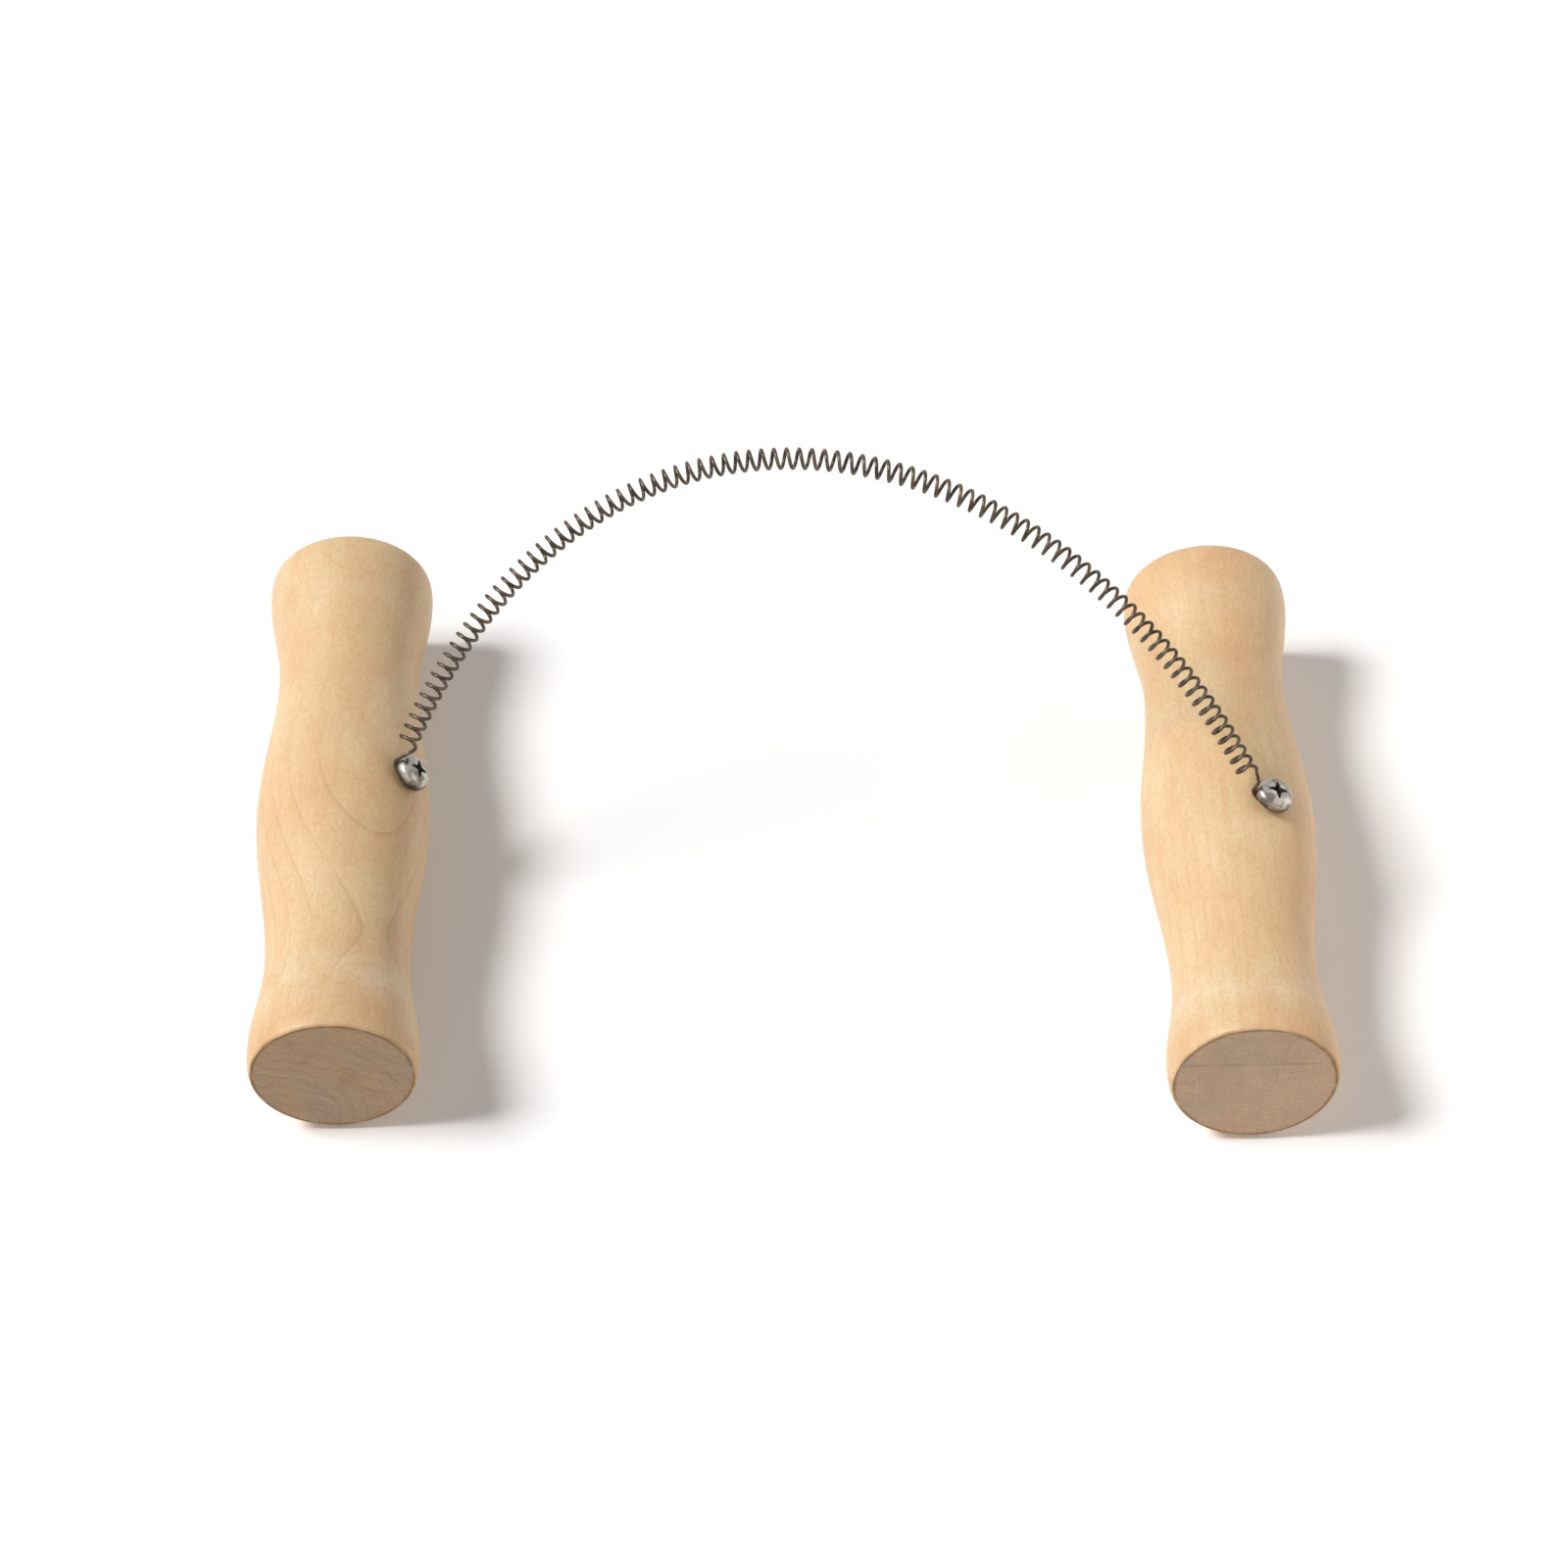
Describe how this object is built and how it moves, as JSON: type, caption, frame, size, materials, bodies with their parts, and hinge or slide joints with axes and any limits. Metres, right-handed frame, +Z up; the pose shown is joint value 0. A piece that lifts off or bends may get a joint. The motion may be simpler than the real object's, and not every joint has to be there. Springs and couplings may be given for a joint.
{
  "type": "clay cutter",
  "caption": "Clay cutter: a long open coil of thin spring steel wire arches between two turned wooden handles that swivel on screws.",
  "frame": {"origin": "on the table, below the middle of the two handles as they lie", "axes": "+X from the left handle to the right handle, +Y along the handles, +Z up from the table"},
  "size_m": [0.1806, 0.114, 0.0791],
  "materials": {
    "wood": "sanded, unvarnished",
    "plated_steel": "bright zinc plate",
    "spring_steel": "drawn, slightly dark"
  },
  "bodies": {
    "left_eye": {"wire_left_eye": "spring_steel"},
    "left_grip": {"left_handle": "wood", "left_screw": "plated_steel"},
    "coil": {"wire_coil": "spring_steel"},
    "right_eye": {"wire_right_eye": "spring_steel"},
    "right_grip": {"right_handle": "wood", "right_screw": "plated_steel"}
  },
  "joints": [
    {"name": "left_swivel", "type": "hinge", "parent": "left_eye", "child": "left_grip", "pos_m": [-0.0642, 0.005, 0.02423], "axis": [0.766, 0, 0.6428], "continuous": true},
    {"name": "spread_left", "type": "slide", "parent": "left_eye", "child": "coil", "axis": [0.6402, -0.3841, -0.6653], "range_m": [-0.0156, 0.0273], "stiffness_N_per_m": 0.4, "springref_m": -0.012, "deforming": ["wire_coil"]},
    {"name": "spread_right", "type": "slide", "parent": "coil", "child": "right_eye", "axis": [0.6402, 0.3841, 0.6653], "range_m": [-0.0156, 0.0273], "stiffness_N_per_m": 0.4, "springref_m": -0.012, "deforming": ["wire_coil"]},
    {"name": "right_swivel", "type": "hinge", "parent": "right_eye", "child": "right_grip", "pos_m": [0.08126, -0.0075, 0.02833], "axis": [0.3907, 0, 0.9205], "continuous": true}
  ],
  "couplings": [
    {"joint": "spread_right", "follows": "spread_left", "ratio": 1}
  ]
}
